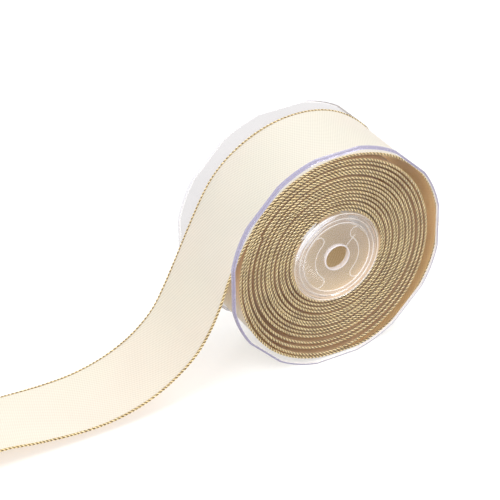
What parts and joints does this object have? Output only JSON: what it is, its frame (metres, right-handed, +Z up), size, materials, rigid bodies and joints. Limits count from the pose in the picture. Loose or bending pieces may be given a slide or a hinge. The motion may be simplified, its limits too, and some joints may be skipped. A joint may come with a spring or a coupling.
{
  "type": "ribbon spool",
  "caption": "Clear plastic flanged spool holding a wound cream ribbon with twisted gold cord edges, its loose end running out along the table.",
  "frame": {"origin": "middle of the bounding box's bottom face, on the table that the spool stands on", "axes": "+Z up, the spool's axle along Y with the front half towards -Y, the loose end of the ribbon towards -X"},
  "size_m": [0.2138, 0.042, 0.0883],
  "materials": {
    "clear_plastic": "clear moulded polystyrene, glossy, faint lilac edge",
    "clear_tape": "thin clear adhesive tape",
    "ribbon_cloth": "fine twill weave with a soft sheen",
    "gold_cord": "twisted metallic yarn"
  },
  "bodies": {
    "loose_ribbon": {"loose_ribbon": "ribbon_cloth", "loose_gold_edge_front": "gold_cord", "loose_gold_edge_back": "gold_cord"},
    "spool": {"front_half": "clear_plastic", "back_half": "clear_plastic", "start_tape": "clear_tape", "wound_ribbon": "ribbon_cloth", "wound_gold_edge_front": "gold_cord", "wound_gold_edge_back": "gold_cord"},
    "free_end": {"free_end_ribbon": "ribbon_cloth", "free_end_gold_edge_front": "gold_cord", "free_end_gold_edge_back": "gold_cord"}
  },
  "joints": [
    {"name": "spool_turn", "type": "hinge", "parent": "loose_ribbon", "child": "spool", "pos_m": [0.06119, 0, 0.04414], "axis": [0, 1, 0], "continuous": true},
    {"name": "free_end_lift", "type": "hinge", "parent": "loose_ribbon", "child": "free_end", "pos_m": [-0.05081, 0, 0.00379], "axis": [0, 0.997, -0.0779], "range_deg": [0, 60]}
  ]
}
